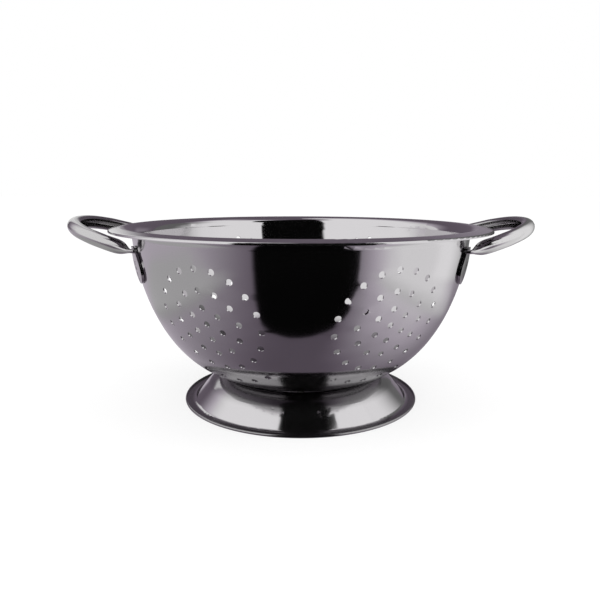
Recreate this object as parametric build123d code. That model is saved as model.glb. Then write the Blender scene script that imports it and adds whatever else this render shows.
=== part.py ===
import math
import os

from build123d import *

# Sheet metal
bowl_sheet = 0.7
foot_sheet = 0.8
handle_sheet = 0.8

# Bowl: outside wall is a superellipse turned about Z
wall_radius = 115.1
wall_top = 120.75
bowl_depth = 106.4
wall_height_power = 1.67
wall_round_power = 3.36
base_flat_radius = 30.0
wall_points = 18

# Rim: the wall rolls outward into a sloping flange with a turned-down lip
rim_radius = 130.0
rim_start_height = 116.5
rim_rise = 3.4
rim_bend = 6.5
flange_slope = 8.7
lip_drop = 0.9
lip_bend = 0.6

# Drain holes: round medallions, each punched along one slanting direction
hole_diameter = 4.0
ring_radii = (0.0, 10.7, 21.4, 33.8)
holes_per_ring_step = 6
medallion_count = 6
medallion_height = 72.3
medallion_start = -0.8
medallion_turn = 2.0
punch_tilt = 24.4
lower_arc_radius = 48.9
lower_arc_side_holes = 2
lower_arc_spacing = 14.2
punch_back = 30.0
punch_front = 10.0

# Foot ring: weld collar, domed shoulder, straight flare, flat flange and curled edge
foot_radius = 83.5
edge_curl_radius = 1.0
collar_inner_radius = 46.0
collar_outer_radius = 53.5
collar_bend = 2.0
shoulder_drop_angle = 10.0
shoulder_bend = 20.0
flare_angle = 48.5
flare_foot_radius = 76.3
flare_bend = 3.0

# Handles: hollow strap loop, open on its inner side, with a leaf at each end
loop_tip_reach = 154.6
loop_start_reach = 110.8
loop_half_width = 46.3
loop_power = 2.3
loop_half_height = 4.75
loop_half_depth = 4.6
loop_lean = 7.5
loop_tip_height = 124.9
loop_angles = (86, 80, 72, 62, 50, 37, 24, 12)
mouth_half_height = 3.0
mouth_half_depth = 2.6
root_azimuth = 24.5
root_height = 109.9
root_half_thickness = 1.3
root_end_half_thickness = 2.2
root_half_width = 5.2
root_flat_length = 2.6
swell_length = 9.0
cavity_end_half_height = 0.8
leaf_half_width = 10.0
leaf_neck_half_width = 5.8
leaf_top = 112.5
leaf_widest_height = 99.0
leaf_shell_margin = 3.0

# Spot welds: round nuggets that bridge the gap between two sheets
weld_gap = 0.2
nugget_radius = 2.5
nugget_bite = 0.3
electrode_mark_radius = 3.0
electrode_mark_depth = 0.2
handle_weld_heights = (101.0, 94.0)
foot_weld_radius = 49.5
foot_weld_count = 6

# Shared
slope_step_share = 0.001
oval_points = 12


def blend(first, last, share):
    """Value between two others."""
    return first + (last - first) * share


def height_at(radius):
    """Height of the bowl's outside wall at a radius."""
    share = (1 - (radius / wall_radius) ** wall_round_power) ** (1 / wall_height_power)
    return wall_top - bowl_depth * share


def radius_at(height):
    """Radius of the bowl's outside wall at a height."""
    share = ((wall_top - height) / bowl_depth) ** wall_height_power
    return wall_radius * (1 - share) ** (1 / wall_round_power)


def wall_point(angle):
    """Point of the outside wall, from the top at 0 degrees towards the base at 90."""
    down = math.sin(math.radians(angle)) ** (2 / wall_height_power)
    out = math.cos(math.radians(angle)) ** (2 / wall_round_power)
    return (wall_radius * out, wall_top - bowl_depth * down)


def ring_places(radius, count, start):
    """Evenly spaced places on a circle in the local XY plane."""
    turns = [math.radians(start + 360 * k / count) for k in range(count)]
    return [Pos(radius * math.cos(a), radius * math.sin(a)) for a in turns]


def medallion_places():
    """One hole in the middle and three rings round it."""
    places = []
    for step, radius in enumerate(ring_radii):
        places += ring_places(radius, max(1, holes_per_ring_step * step), 90 + medallion_turn)
    return places


def lower_arc_places():
    """Short arc of holes below a medallion."""
    places = []
    for k in range(-lower_arc_side_holes, lower_arc_side_holes + 1):
        angle = math.radians(medallion_turn - 90 + lower_arc_spacing * k)
        places.append(Pos(lower_arc_radius * math.cos(angle), lower_arc_radius * math.sin(angle)))
    return places


def punches(plane, places):
    """Round punches square to a plane, one at each place."""
    length = punch_back + punch_front
    punch = Pos(0, 0, (punch_front - punch_back) / 2) * Cylinder(hole_diameter / 2, length)
    return [plane * place * punch for place in places]


def side_plane():
    """Plane of the medallion on +X, square to its punches."""
    tilt = math.radians(punch_tilt)
    centre = (radius_at(medallion_height), 0, medallion_height)
    return Plane(centre, x_dir=(0, 1, 0), z_dir=(math.cos(tilt), 0, -math.sin(tilt)))


def slope_normal(height):
    """Outward normal of the wall at a height, in the XZ plane."""
    step = bowl_depth * slope_step_share
    tangent = Vector(radius_at(height + step) - radius_at(height - step), 0, 2 * step)
    return tangent.cross(Vector(0, 1, 0)).normalized() * -1


def wall_line(inset):
    """One side of the wall in section, from the start of the rim to the edge of the flat base."""
    down_share = (wall_top - rim_start_height) / bowl_depth
    start_angle = math.degrees(math.asin(down_share ** (wall_height_power / 2)))
    end_angle = math.degrees(math.acos((base_flat_radius / wall_radius) ** (wall_round_power / 2)))
    points = []
    for k in range(wall_points):
        r, z = wall_point(blend(start_angle, end_angle, k / wall_points))
        normal = slope_normal(z)
        points.append((r - normal.X * inset, z - normal.Z * inset))
    base = height_at(base_flat_radius)
    points.append((base_flat_radius, base + inset))
    first = slope_normal(rim_start_height)
    last = slope_normal(base)
    return Spline(*points, tangents=((first.Z, -first.X), (last.Z, -last.X)))


def bowl_side(inset):
    """One side of the bowl's sheet in section, from the axis to the lip."""
    slope = math.radians(flange_slope)
    fall = math.tan(slope)
    base = height_at(base_flat_radius) + inset
    normal = slope_normal(rim_start_height)
    start_r = radius_at(rim_start_height) - normal.X * inset
    start_z = rim_start_height - normal.Z * inset
    flange_z = wall_top + rim_rise + inset / math.cos(slope) + fall * wall_radius
    run = (flange_z - fall * start_r - start_z) / (normal.X - fall * normal.Z)
    lip_r = rim_radius - bowl_sheet + inset
    lip_z = wall_top + rim_rise - fall * (rim_radius - bowl_sheet - wall_radius) - lip_drop
    flat = Line((0, base), (base_flat_radius, base))
    rim = FilletPolyline(
        (start_r, start_z),
        (start_r - run * normal.Z, start_z + run * normal.X),
        (lip_r, flange_z - fall * lip_r),
        (lip_r, lip_z),
        radius=(rim_bend + inset, lip_bend + inset),
    )
    return flat.edges() + wall_line(inset).edges() + rim.edges()


def bowl_shell():
    """Bowl before its holes are punched, with its seam between two medallions."""
    outside = bowl_side(0)
    inside = bowl_side(bowl_sheet)
    base = height_at(base_flat_radius)
    middle = Line((0, base), (0, base + bowl_sheet))
    lip = Line(outside[-1] @ 1, inside[-1] @ 1)
    face = make_face(outside + inside + middle.edges() + lip.edges())
    return Rot(0, 0, 180 / medallion_count) * revolve(Plane.XZ * face, axis=Axis.Z)


def make_bowl():
    """Bowl with all its drain holes."""
    side_tools = punches(side_plane(), medallion_places() + lower_arc_places())
    base_plane = Plane((0, 0, height_at(base_flat_radius)), x_dir=(1, 0, 0), z_dir=(0, 0, 1))
    tools = punches(base_plane, medallion_places())
    for k in range(medallion_count):
        turn = Rot(0, 0, medallion_start + 360 * k / medallion_count)
        tools += [turn * tool for tool in side_tools]
    return bowl_shell() - tools


def foot_line():
    """Upper side of the foot ring in section, from the collar to the curled edge."""
    start = (collar_inner_radius, height_at(collar_inner_radius) - weld_gap)
    crest = (collar_outer_radius, height_at(collar_outer_radius) - weld_gap)
    drop = math.tan(math.radians(shoulder_drop_angle))
    fall = math.tan(math.radians(flare_angle))
    rise = crest[1] - foot_sheet + drop * crest[0] - fall * flare_foot_radius
    shoulder_radius = rise / (drop - fall)
    shoulder = (shoulder_radius, crest[1] - drop * (shoulder_radius - crest[0]))
    curl_radius = foot_radius - edge_curl_radius
    flange = FilletPolyline(
        start,
        crest,
        shoulder,
        (flare_foot_radius, foot_sheet),
        (curl_radius, foot_sheet),
        radius=(collar_bend, shoulder_bend, flare_bend),
    )
    inner_curl = edge_curl_radius - foot_sheet
    curl = CenterArc((curl_radius, edge_curl_radius), inner_curl, -90, 180)
    return Wire(flange.edges() + curl.edges())


def make_foot():
    """Foot ring: one sheet below the line, turned about Z."""
    section = offset(foot_line(), amount=foot_sheet, side=Side.RIGHT, closed=True)
    return revolve(Plane.XZ * make_face(section.edges()), axis=Axis.Z)


def oval(width, height):
    """Oval made of an upper and a lower half, from its two half sizes."""
    edges = []
    for side in (1, -1):
        turns = [math.radians(180 * k / oval_points) for k in range(oval_points + 1)]
        points = [(side * width * math.cos(turn), side * height * math.sin(turn)) for turn in turns]
        edges += Spline(*points, tangents=((0, side), (0, -side))).edges()
    return make_face(edges)


def loop_section(angle, height, depth, shift):
    """Oval across the handle's loop; the angle is 0 at the tip."""
    c = math.cos(math.radians(angle))
    s = math.sin(math.radians(abs(angle)))
    side = math.copysign(1, angle)
    reach = loop_tip_reach - loop_start_reach
    x = loop_start_reach + reach * c ** (2 / loop_power)
    y = side * loop_half_width * s ** (2 / loop_power)
    climb = (loop_tip_height - root_height) / (loop_tip_reach - root_reach())
    z = root_height + climb * (x - root_reach())
    run = reach * c ** (2 / loop_power - 1) * s
    sweep = loop_half_width * s ** (2 / loop_power - 1) * c if angle else loop_half_width
    along = Vector(-side * run, sweep, -side * run * climb).normalized()
    lean = math.radians(loop_lean)
    up = Vector(-math.sin(lean), 0, math.cos(lean))
    out = along.cross(up).normalized()
    centre = Vector(x, y, z) + out * shift
    return Plane(centre, x_dir=out, z_dir=along) * oval(depth, height)


def swell(angle):
    """How far the strap has opened from its flat root to its full section, 0 to 1."""
    reach = loop_tip_reach - loop_start_reach
    x = reach * math.cos(math.radians(angle)) ** (2 / loop_power)
    share = min(1, (x + loop_start_reach - root_reach()) / swell_length)
    return share * share * (3 - 2 * share)


def root_wall_radius():
    """Radius at the middle of a leaf's thickness, where the strap leaves it."""
    return radius_at(root_height) + weld_gap + handle_sheet


def root_reach():
    """X where the flat start of the strap ends."""
    return root_wall_radius() * math.cos(math.radians(root_azimuth)) + root_flat_length


def root_sections(side):
    """Flat ovals at the start of the strap, for one side of the loop."""
    azimuth = math.radians(root_azimuth)
    radial = Vector(math.cos(azimuth), side * math.sin(azimuth), 0)
    middle = (radial + Vector(1, 0, 0)).normalized()
    leaf_place = radial * root_wall_radius() + Vector(0, 0, root_height)
    sections = []
    for centre, out, thick in (
        (leaf_place, radial, root_end_half_thickness),
        (leaf_place + middle * root_flat_length, middle, root_half_thickness),
    ):
        width = Vector(0, 0, side).cross(out)
        sections.append(Plane(centre, x_dir=width, z_dir=out * -side) * oval(root_half_width, thick))
    return sections


def loop_solid():
    """Outside of the strap from leaf to leaf."""
    middle = []
    for angle in list(loop_angles) + [0] + [-a for a in reversed(loop_angles)]:
        full = swell(angle)
        height = blend(root_half_thickness, loop_half_height, full)
        depth = blend(root_half_width, loop_half_depth, full)
        middle.append(loop_section(-angle, height, depth, 0))
    sections = root_sections(-1) + middle + list(reversed(root_sections(1)))
    return loft(sections)


def hollow(height, depth, shift):
    """Space inside the strap, pinched at both ends."""
    sections = []
    inner_angles = loop_angles[1:]
    for angle in list(inner_angles) + [0] + [-a for a in reversed(inner_angles)]:
        at_end = abs(angle) == inner_angles[0]
        tall = cavity_end_half_height if at_end else height * swell(angle)
        sections.append(loop_section(-angle, tall, depth, shift))
    return loft(sections)


def leaf_outline():
    """Leaf seen square on: a neck, swelling sides and a round end."""
    side = Spline(
        (leaf_neck_half_width, leaf_top),
        (leaf_half_width, leaf_widest_height),
        tangents=((0, -1), (0, -1)),
    )
    end = ThreePointArc(
        (leaf_half_width, leaf_widest_height),
        (0, leaf_widest_height - leaf_half_width),
        (-leaf_half_width, leaf_widest_height),
    )
    top = Line((-leaf_neck_half_width, leaf_top), (leaf_neck_half_width, leaf_top))
    other = mirror(side, about=Plane.YZ)
    return make_face(side.edges() + end.edges() + other.edges() + top.edges())


def leaf_shell():
    """Turned shell that lies against the wall, as thick as two sheets."""
    low = leaf_widest_height - leaf_half_width - leaf_shell_margin
    high = leaf_top + leaf_shell_margin
    heights = [blend(low, high, k / 6) for k in range(7)]
    near = [(radius_at(z) + weld_gap, z) for z in heights]
    far = [(r + 2 * handle_sheet, z) for r, z in near]
    edges = Spline(*near).edges() + Spline(*far).edges()
    edges += Line(near[0], far[0]).edges() + Line(near[-1], far[-1]).edges()
    return Rot(0, 0, 180) * revolve(Plane.XZ * make_face(edges), axis=Axis.Z)


def leaves():
    """Both leaves of the right handle."""
    outline = leaf_outline()
    shell = leaf_shell()
    result = []
    for side in (-1, 1):
        azimuth = math.radians(side * root_azimuth)
        around = (-math.sin(azimuth), math.cos(azimuth), 0)
        radial = (math.cos(azimuth), math.sin(azimuth), 0)
        block = extrude(Plane((0, 0, 0), x_dir=around, z_dir=radial) * outline, rim_radius)
        result.append(block & shell)
    return result


def handle_weld_planes(outward):
    """Planes on the wall at each handle weld, moved outward from the bowl's surface."""
    planes = []
    for side in (-1, 1):
        for height in handle_weld_heights:
            normal = slope_normal(height)
            origin = Vector(radius_at(height), 0, height) + normal * outward
            plane = Plane(origin, x_dir=(0, 1, 0), z_dir=normal)
            planes.append(Rot(0, 0, side * root_azimuth) * plane.location)
    return planes


def foot_weld_planes(outward):
    """Planes on the bowl's underside at each foot weld, moved outward from it."""
    height = height_at(foot_weld_radius)
    normal = slope_normal(height)
    origin = Vector(foot_weld_radius, 0, height) + normal * outward
    plane = Plane(origin, x_dir=(0, 1, 0), z_dir=normal)
    turns = [360 * (k + 0.5) / foot_weld_count for k in range(foot_weld_count)]
    return [Rot(0, 0, turn) * plane.location for turn in turns]


def nuggets(planes):
    """Weld nuggets, each centred in the gap between two sheets."""
    disc = Cylinder(nugget_radius, weld_gap + 2 * nugget_bite)
    return [plane * disc for plane in planes]


def electrode_marks():
    """Shallow round marks that the electrodes leave on the leaves."""
    mark = Cylinder(electrode_mark_radius, 2 * electrode_mark_depth)
    return [plane * mark for plane in handle_weld_planes(weld_gap + 2 * handle_sheet)]


def make_handle():
    """Right handle before its weld pockets are cut."""
    inner_height = loop_half_height - handle_sheet
    inner_depth = loop_half_depth - handle_sheet
    handle = loop_solid()
    for leaf in leaves():
        handle += leaf
    handle -= hollow(inner_height, inner_depth, 0)
    handle -= hollow(mouth_half_height, mouth_half_depth, -loop_half_depth)
    return handle - electrode_marks()


def mirrored(shape):
    """The same shape on the other side of the YZ plane."""
    return mirror(shape, about=Plane.YZ)


def save(shape, name):
    """Write one node."""
    export_step(shape, os.path.join("parts", name + ".step"))


def main():
    """Make every piece and write one file for each node."""
    os.makedirs("parts", exist_ok=True)
    handle_nuggets = nuggets(handle_weld_planes(weld_gap / 2))
    foot_nuggets = nuggets(foot_weld_planes(weld_gap / 2))
    left_nuggets = [mirrored(nugget) for nugget in handle_nuggets]
    handle = make_handle() - handle_nuggets
    save(make_bowl() - handle_nuggets - left_nuggets - foot_nuggets, "bowl")
    save(make_foot() - foot_nuggets, "foot_ring")
    save(handle, "handle_right")
    save(mirrored(handle), "handle_left")
    save(Compound(children=handle_nuggets), "handle_right_spot_welds")
    save(Compound(children=left_nuggets), "handle_left_spot_welds")
    save(Compound(children=foot_nuggets), "foot_spot_welds")


main()
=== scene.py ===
import math

import bpy
from mathutils import Matrix, Vector

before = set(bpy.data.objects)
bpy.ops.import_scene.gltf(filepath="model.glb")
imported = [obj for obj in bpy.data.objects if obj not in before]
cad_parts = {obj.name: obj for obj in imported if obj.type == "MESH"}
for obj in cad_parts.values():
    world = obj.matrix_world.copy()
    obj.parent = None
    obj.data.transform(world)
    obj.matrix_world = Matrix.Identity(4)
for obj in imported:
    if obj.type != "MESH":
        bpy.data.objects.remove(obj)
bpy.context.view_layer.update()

scene = bpy.context.scene

# Camera, solved from the rim, the foot and the handles in the photograph
CAMERA_PLACE = (0.0, -0.430, 0.14987)
CAMERA_PITCH = 10.54
CAMERA_ROLL = 0.15
CAMERA_LENS = 36.51
PHOTO_SIDE = 600
PRINCIPAL_X = 300.8

# Black card in front of the object, in mm along the card and up, with the width of its soft edge
CARD_LEFT = (-0.058, -0.175)
CARD_RIGHT = (0.148, -0.255)
CARD_OUTLINE = (
    (-40, 1100, 20), (-30, 500, 14), (-22, 300, 12), (-18, 150, 10), (-12, 115, 9), (-5, 95, 9), (-6, 69, 9),
    (-10, 28, 10), (-12, -27, 11), (-1, -55, 10), (14, -74, 9), (37, -94, 9), (63, -108, 9), (103, -124, 9),
    (154, -136, 9), (200, -141, 7), (220, -130, 5), (226, -110, 4), (227, -77, 4), (226, -17, 4),
    (219, 66, 4), (219, 100, 4), (248, 125, 6), (282, 165, 8), (282, 320, 10), (290, 400, 12),
    (526, 692, 20), (600, 1100, 20),
)

# Glowing panels that the metal mirrors, in metres: name, corner, width, height, soft shares of the
# start, end, bottom and top, and the shares of the width and the strengths between which it shades
PANELS = (
    ("panel_right", (0.30, -0.06, 0.0), (0, 0.56, 0), (0, 0, 0.62),
     (0.08, 0.12, 0.04, 0.3), (0.125, 0.55, 1.0, 0.16)),
    ("panel_back_left", (-0.38, 0.25, 0.10), (0.20, 0, 0), (0, 0, 0.52),
     (0.25, 0.25, 0.08, 0.2), (0, 1, 0.85, 0.85)),
    ("panel_table_right", (0.175, -0.30, 0.0005), (0.55, 0, 0), (0, 0.50, 0),
     (0.07, 0.4, 0.28, 0.45), (0.0, 0.2, 0.60, 0.90)),
    ("panel_table_left", (-0.16, -0.30, 0.0005), (-0.50, 0, 0), (0, 0.55, 0),
     (0.10, 0.5, 0.28, 0.30), (0.0, 0.16, 0.32, 0.48)),
)

# Strengths of the surroundings that the metal mirrors; 1 is white
TABLE_DIM = 0.115
TABLE_LEFT = 0.43
TABLE_RIGHT = 0.82
ROOM_DIM = 0.145
ROOM_BACK_RIGHT = 0.12
WALL_BRIGHT = 0.88

# White floor
FLOOR_REACH = 8.0
FLOOR_GLOW = 1.02
FLOOR_GLOW_SHARE = 0.72

# Soft lamps
LAMPS = (("lamp_left", (-0.9, -0.6, 1.3)), ("lamp_right", (1.0, -0.4, 1.2)))
LAMP_AIM = (0, 0, 0.05)
LAMP_SIZE = 0.8
LAMP_POWER = 6

# Darkening of the steel, painted shade on the bowl's bottom, the foot's neck and the handles, and a darker
# flange edge: heights and radii in metres where it starts and is full, and its full share
# Painted shade over the bottom of the bowl, where the foot meets it
BOWL_PAINTED_SHADE = (0.043, 0.035, 0.9)
# Painted shade over the foot's neck, below the bowl
FOOT_NECK_PAINTED_SHADE = (0.0100, 0.0140, 0.38)
# Darker, rougher outer edge of the foot's flat flange
FOOT_DARK_EDGE_RADII = (0.0765, 0.0790)
FOOT_DARK_EDGE_HEIGHTS = (0.0030, 0.0015)
FOOT_DARK_EDGE = 0.8
# Painted shade over the whole left handle and on the inner sides of both handles
HANDLE_LEFT_PAINTED_SHADE = 0.22
HANDLE_INNER_PAINTED_SHADE = 0.45
# Colour share and added roughness of the darkening above
DARKENED_SHADE = 0.35
DARKENED_ROUGHNESS = 0.1
HAZE_SHADE = 0.96

# What the metal is made of
BOWL_TINT = (0.66, 0.645, 0.66)
HANDLE_TINT = (0.68, 0.67, 0.675)
WELD_TINT = (0.50, 0.49, 0.48)


class Nodes:
    """Short way to write a shader's node tree."""

    def __init__(self, tree):
        self.tree = tree
        tree.nodes.clear()

    def add(self, kind, **settings):
        node = self.tree.nodes.new(kind)
        for name, value in settings.items():
            setattr(node, name, value)
        return node

    def link(self, source, target):
        if isinstance(source, bpy.types.NodeSocket):
            self.tree.links.new(source, target)
        else:
            target.default_value = source

    def math(self, operation, *values, clamp=False):
        node = self.add("ShaderNodeMath", operation=operation, use_clamp=clamp)
        for value, target in zip(values, node.inputs):
            self.link(value, target)
        return node.outputs[0]

    def times(self, *values):
        """Product of two or more values."""
        result = values[0]
        for value in values[1:]:
            result = self.math("MULTIPLY", result, value)
        return result

    def total(self, *values):
        """Sum of two or more values."""
        result = values[0]
        for value in values[1:]:
            result = self.math("ADD", result, value)
        return result

    def step(self, value, start, end, low=0.0, high=1.0):
        """Smooth step of a value from low at start to high at end."""
        node = self.add("ShaderNodeMapRange", interpolation_type="SMOOTHSTEP")
        for name, setting in (
            ("Value", value), ("From Min", start), ("From Max", end), ("To Min", low), ("To Max", high)
        ):
            self.link(setting, node.inputs[name])
        return node.outputs[0]

    def mix(self, factor, first, second):
        node = self.add("ShaderNodeMix", data_type="RGBA")
        for setting, target in ((factor, 0), (first, 6), (second, 7)):
            self.link(setting, node.inputs[target])
        return node.outputs[2]

    def split(self, vector):
        node = self.add("ShaderNodeSeparateXYZ")
        self.link(vector, node.inputs[0])
        return node.outputs

    def join(self, *values):
        node = self.add("ShaderNodeCombineXYZ")
        for value, target in zip(values, node.inputs):
            self.link(value, target)
        return node.outputs[0]

    def noise(self, vector, scale, detail, roughness=0.5):
        node = self.add("ShaderNodeTexNoise")
        self.link(vector, node.inputs["Vector"])
        node.inputs["Scale"].default_value = scale
        node.inputs["Detail"].default_value = detail
        node.inputs["Roughness"].default_value = roughness
        return node.outputs[0]

    def radius(self, x, y):
        """Distance from the object's axis."""
        return self.math("SQRT", self.total(self.times(x, x), self.times(y, y)))

    def finish(self, shader, kind="ShaderNodeOutputMaterial"):
        self.link(shader, self.add(kind).inputs["Surface"])


def colour(*values):
    return (*values, 1.0)


def make_material(name):
    material = bpy.data.materials.new(name)
    material.use_nodes = True
    return material, Nodes(material.node_tree)


def turned_lines(nodes, place):
    """Fine polishing lines that run round the part's axis."""
    x, y, z = nodes.split(place)
    angle = nodes.math("ARCTAN2", y, x)
    return nodes.noise(nodes.join(nodes.radius(x, y), z, nodes.times(angle, 0.002)), 2600, 3, 0.6)


def buffed_lines(nodes, place):
    """Fine buffing lines that run across a handle's strap."""
    x, y, z = nodes.split(place)
    return nodes.noise(nodes.join(nodes.times(x, 0.15), y, nodes.times(z, 0.15)), 3200, 3, 0.6)


def no_darkening(nodes, place, is_inside):
    """The weld metal is sealed between the sheets; it gets no darkening and no painted shade."""
    return 0.0


def paint_bowl_shade(nodes, place, is_inside):
    """Share of painted shade on the bowl: darker over its bottom, where the foot is welded on."""
    start, full, share = BOWL_PAINTED_SHADE
    return nodes.step(nodes.split(place)[2], start, full, 0.0, share)


def foot_darkening(nodes, place, is_inside):
    """Share of darkening on the foot: darker and rougher at the outer edge of its flat flange, and painted
    shade on its neck below the bowl, near the welds.
    """
    x, y, z = nodes.split(place)
    # Darker, rougher outer edge of the flat flange
    out = nodes.step(nodes.radius(x, y), *FOOT_DARK_EDGE_RADII)
    darker_edge = nodes.times(out, nodes.step(z, *FOOT_DARK_EDGE_HEIGHTS), FOOT_DARK_EDGE)
    # Painted shade on the neck, below the bowl
    start, full, share = FOOT_NECK_PAINTED_SHADE
    return nodes.total(darker_edge, nodes.step(z, start, full, 0.0, share))


def paint_handle_shade(nodes, place, is_inside):
    """Share of painted shade on the handles: more on the inner side, which faces the bowl, and a little over
    the whole left one.
    """
    left = nodes.step(nodes.split(place)[0], 0.1, -0.1, 0.0, HANDLE_LEFT_PAINTED_SHADE)
    return nodes.total(left, nodes.times(is_inside, HANDLE_INNER_PAINTED_SHADE))


def steel(name, outside, inside, tint, line_height, lines_of, darkening_of=no_darkening):
    """Polished steel with fine lines, a slight haze, faint wiping marks and darkening: painted shade on the
    bowl's bottom, the foot's neck and the handles, and a darker flange edge.
    """
    material, nodes = make_material(name)
    coordinates = nodes.add("ShaderNodeTexCoord")
    place = coordinates.outputs["Object"]
    lines = lines_of(nodes, place)
    haze = nodes.noise(place, 18, 3)
    x, y, z = nodes.split(place)
    wipes = nodes.noise(nodes.join(x, y, nodes.times(z, 0.25)), 70, 4, 0.6)
    nx, ny, nz = nodes.split(coordinates.outputs["Normal"])
    facing = nodes.total(nodes.times(x, nx), nodes.times(y, ny))
    is_inside = nodes.step(facing, 0.0, -0.004)
    smooth = nodes.math("MULTIPLY_ADD", is_inside, inside - outside, outside)
    marks = nodes.total(nodes.times(haze, 0.45), nodes.times(wipes, 0.35), nodes.times(lines, 0.2), 0.5)
    shader = nodes.add("ShaderNodeBsdfPrincipled")
    shader.inputs["Metallic"].default_value = 1.0
    dull = colour(*(c * HAZE_SHADE for c in tint))
    # Darkened colour: painted shade on the bowl's bottom, the foot's neck and the handles, and the darker
    # flange edge
    darkened = colour(*(c * DARKENED_SHADE for c in tint))
    darkening = darkening_of(nodes, place, is_inside)
    clean = nodes.mix(nodes.times(haze, wipes), dull, colour(*tint))
    nodes.link(nodes.mix(darkening, clean, darkened), shader.inputs["Base Color"])
    rough = nodes.math("MULTIPLY_ADD", darkening, DARKENED_ROUGHNESS, nodes.times(smooth, marks))
    nodes.link(rough, shader.inputs["Roughness"])
    bump = nodes.add("ShaderNodeBump")
    bump.inputs["Distance"].default_value = line_height
    bump.inputs["Strength"].default_value = 1.0
    nodes.link(lines, bump.inputs["Height"])
    nodes.link(bump.outputs[0], shader.inputs["Normal"])
    nodes.finish(shader.outputs[0])
    return material


def dress_nodes():
    """Give every CAD node its finish."""
    bowl = steel("bowl_steel", 0.10, 0.05, BOWL_TINT, 0.0000004, turned_lines, paint_bowl_shade)
    foot = steel("foot_steel", 0.09, 0.09, BOWL_TINT, 0.0000004, turned_lines, foot_darkening)
    handle = steel("handle_steel", 0.10, 0.10, HANDLE_TINT, 0.0000003, buffed_lines, paint_handle_shade)
    weld = steel("weld_steel", 0.45, 0.45, WELD_TINT, 0.000002, buffed_lines)
    finishes = {"bowl": bowl, "foot_ring": foot, "handle_right": handle, "handle_left": handle}
    for name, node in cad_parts.items():
        node.data.materials.clear()
        node.data.materials.append(finishes.get(name, weld))


def emission(nodes, tint, strength):
    node = nodes.add("ShaderNodeEmission")
    nodes.link(tint, node.inputs["Color"])
    nodes.link(strength, node.inputs["Strength"])
    return node.outputs[0]


def mix_shader(nodes, factor, first, second):
    node = nodes.add("ShaderNodeMixShader")
    for source, target in zip((factor, first, second), node.inputs):
        nodes.link(source, target)
    return node.outputs[0]


def table_light(nodes, az, el):
    """Light from below the horizon: a dim table, brighter towards both sides."""
    left = nodes.times(nodes.step(az, -12, -90), nodes.step(el, -80, -2), TABLE_LEFT)
    right_round = nodes.times(nodes.step(az, 24, 72), nodes.step(az, 155, 95, 0.18, 1.0))
    right = nodes.times(right_round, nodes.step(el, -84, -6), TABLE_RIGHT)
    return nodes.total(left, right, TABLE_DIM)


def wall_light(nodes, az, el):
    """Light from above the horizon: a bright wall at each side, a dim room behind and above."""
    left_back = nodes.math("MULTIPLY_ADD", el, 0.6, az)
    left_front = nodes.total(az, nodes.step(el, 50, 76, 0, 50))
    left = nodes.times(nodes.step(left_front, 6, -8), nodes.step(left_back, -135, -80))
    right_back = nodes.math("MULTIPLY_ADD", el, -0.3, az)
    right = nodes.times(nodes.step(az, -4, 8), nodes.step(right_back, 118, 80), nodes.step(el, 74, 54))
    back_round = nodes.times(nodes.step(az, 138, 156), nodes.step(az, 178, 166))
    back_right = nodes.times(back_round, nodes.step(el, 22, 8), ROOM_BACK_RIGHT)
    return nodes.total(nodes.times(nodes.total(left, right), WALL_BRIGHT), back_right, ROOM_DIM)


def surroundings(nodes):
    """Studio that the metal mirrors, by direction in degrees; 0 round is the camera's side."""
    x, y, z = nodes.split(nodes.add("ShaderNodeTexCoord").outputs["Generated"])
    degrees = 180 / math.pi
    az = nodes.times(nodes.math("ARCTAN2", x, nodes.times(y, -1.0)), degrees)
    el = nodes.times(nodes.math("ARCSINE", z), degrees)
    above = nodes.step(el, -7, 0)
    below = nodes.math("SUBTRACT", 1.0, above)
    strength = nodes.total(
        nodes.times(table_light(nodes, az, el), below), nodes.times(wall_light(nodes, az, el), above)
    )
    shade = nodes.mix(nodes.step(strength, 0.08, 0.35), colour(1.0, 0.82, 1.04), colour(1.0, 0.91, 1.03))
    tint = nodes.mix(nodes.step(strength, 0.4, 0.95), shade, colour(1.0, 1.0, 1.0))
    background = nodes.add("ShaderNodeBackground")
    nodes.link(tint, background.inputs["Color"])
    nodes.link(strength, background.inputs["Strength"])
    return background.outputs[0]


def make_world():
    """White for the camera and the floor, the studio's surroundings for the metal."""
    world = bpy.data.worlds.new("studio")
    scene.world = world
    world.use_nodes = True
    nodes = Nodes(world.node_tree)
    path = nodes.add("ShaderNodeLightPath")
    white = nodes.add("ShaderNodeBackground")
    white.inputs["Color"].default_value = colour(1, 1, 1)
    white.inputs["Strength"].default_value = 1.0
    shader = mix_shader(nodes, path.outputs["Is Glossy Ray"], white.outputs[0], surroundings(nodes))
    nodes.finish(shader, "ShaderNodeOutputWorld")


def hide_from(thing, *kinds):
    for kind in kinds:
        setattr(thing, "visible_" + kind, False)


def mesh_object(name, points, faces):
    mesh = bpy.data.meshes.new(name)
    mesh.from_pydata(points, [], faces)
    thing = bpy.data.objects.new(name, mesh)
    scene.collection.objects.link(thing)
    return thing


def make_floor():
    """White floor that keeps the shadow and that the metal doesn't mirror."""
    reach = FLOOR_REACH
    points = [(-reach, -reach, 0), (reach, -reach, 0), (reach, reach, 0), (-reach, reach, 0)]
    floor = mesh_object("studio_floor", points, [(0, 1, 2, 3)])
    material, nodes = make_material("studio_floor")
    diffuse = nodes.add("ShaderNodeBsdfDiffuse")
    diffuse.inputs["Color"].default_value = colour(1.0, 1.0, 1.0)
    glow = emission(nodes, colour(1, 1, 1), FLOOR_GLOW)
    nodes.finish(mix_shader(nodes, FLOOR_GLOW_SHARE, diffuse.outputs[0], glow))
    floor.data.materials.append(material)
    hide_from(floor, "glossy", "diffuse")


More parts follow.
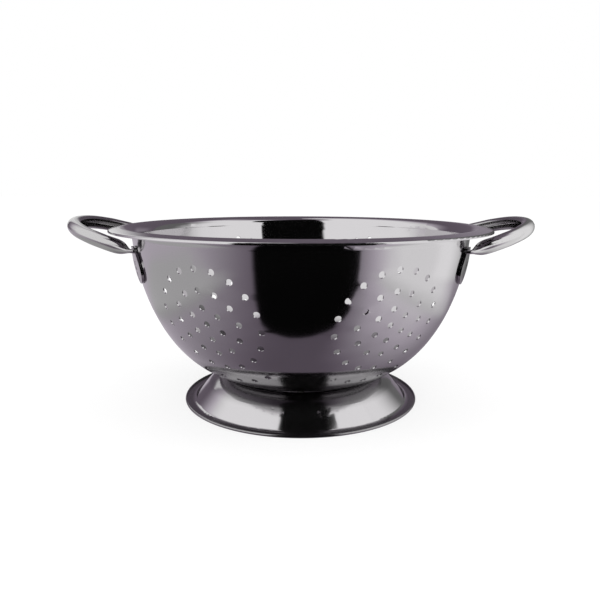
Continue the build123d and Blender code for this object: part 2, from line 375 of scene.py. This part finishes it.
def card_points(widen):
    """Corners of the card's outline, moved outward by a share of the soft edge."""
    start = Vector((*CARD_LEFT, 0))
    along = (Vector((*CARD_RIGHT, 0)) - start).normalized()
    points = []
    last = len(CARD_OUTLINE) - 1
    for k, (u, z, soft) in enumerate(CARD_OUTLINE):
        u0, z0, _ = CARD_OUTLINE[max(0, k - 1)]
        u1, z1, _ = CARD_OUTLINE[min(last, k + 1)]
        out = Vector((z1 - z0, u0 - u1)).normalized() * soft * widen
        points.append(start + along * (u + out[0]) / 1000 + Vector((0, 0, (z + out[1]) / 1000)))
    return points


def make_dark_card():
    """Black card in front of the object, seen only in the metal."""
    inner = card_points(-0.5)
    outer = card_points(0.5)
    count = len(inner)
    faces = [tuple(range(count))]
    faces += [(k, k + 1, count + k + 1, count + k) for k in range(count - 1)]
    card = mesh_object("dark_card", inner + outer, faces)
    layer = card.data.uv_layers.new(name="edge")
    for loop in card.data.loops:
        layer.data[loop.index].uv = (1.0 if loop.vertex_index < count else 0.0, 0.0)
    material, nodes = make_material("dark_card")
    uv = nodes.add("ShaderNodeUVMap", uv_map="edge").outputs[0]
    cover = nodes.step(nodes.split(uv)[0], 0.0, 1.0)
    glow = emission(nodes, colour(0.002, 0.002, 0.002), 1.0)
    clear = nodes.add("ShaderNodeBsdfTransparent").outputs[0]
    nodes.finish(mix_shader(nodes, cover, clear, glow))
    card.data.materials.append(material)
    hide_from(card, "camera", "diffuse", "shadow", "transmission", "volume_scatter")


def make_panel(name, corner, across, up, soft, shade):
    """Glowing panel beside the object, seen only in the metal; its shade varies along its width."""
    a, b, c = Vector(corner), Vector(across), Vector(up)
    panel = mesh_object(name, [a, a + b, a + b + c, a + c], [(0, 1, 2, 3)])
    layer = panel.data.uv_layers.new(name="panel")
    for loop, uv in zip(panel.data.loops, ((0, 0), (1, 0), (1, 1), (0, 1))):
        layer.data[loop.index].uv = uv
    material, nodes = make_material(name)
    u, v, _ = nodes.split(nodes.add("ShaderNodeUVMap", uv_map="panel").outputs[0])
    first, last, bottom, top = soft
    wide = nodes.times(nodes.step(u, 0, first), nodes.step(u, 1, 1 - last))
    cover = nodes.times(wide, nodes.step(v, 0, bottom), nodes.step(v, 1, 1 - top))
    glow = emission(nodes, colour(1, 1, 1), nodes.step(u, *shade))
    clear = nodes.add("ShaderNodeBsdfTransparent").outputs[0]
    nodes.finish(mix_shader(nodes, cover, clear, glow))
    panel.data.materials.append(material)
    hide_from(panel, "camera", "diffuse", "shadow", "transmission", "volume_scatter")


def make_lamp(name, place):
    """Square soft lamp that the metal doesn't mirror."""
    data = bpy.data.lights.new(name, "AREA")
    data.shape = "SQUARE"
    data.size = LAMP_SIZE
    data.energy = LAMP_POWER
    lamp = bpy.data.objects.new(name, data)
    scene.collection.objects.link(lamp)
    lamp.location = place
    lamp.rotation_mode = "QUATERNION"
    lamp.rotation_quaternion = (Vector(LAMP_AIM) - Vector(place)).to_track_quat("-Z", "Y")
    lamp.visible_glossy = False


def make_camera():
    """Camera at the photograph's view."""
    data = bpy.data.cameras.new("camera")
    camera = bpy.data.objects.new("camera", data)
    scene.collection.objects.link(camera)
    camera.location = CAMERA_PLACE
    turn = Matrix.Rotation(math.radians(90 - CAMERA_PITCH), 4, "X")
    roll = Matrix.Rotation(math.radians(CAMERA_ROLL), 4, "Z")
    camera.rotation_euler = (turn @ roll).to_euler()
    data.lens = CAMERA_LENS
    data.sensor_width = 36
    data.shift_x = (PHOTO_SIDE / 2 - PRINCIPAL_X) / PHOTO_SIDE
    data.clip_start = 0.01
    data.clip_end = 50
    scene.camera = camera


dress_nodes()
make_world()
make_floor()
make_dark_card()
for panel in PANELS:
    make_panel(*panel)
for lamp in LAMPS:
    make_lamp(*lamp)
make_camera()
scene.view_settings.view_transform = "Standard"
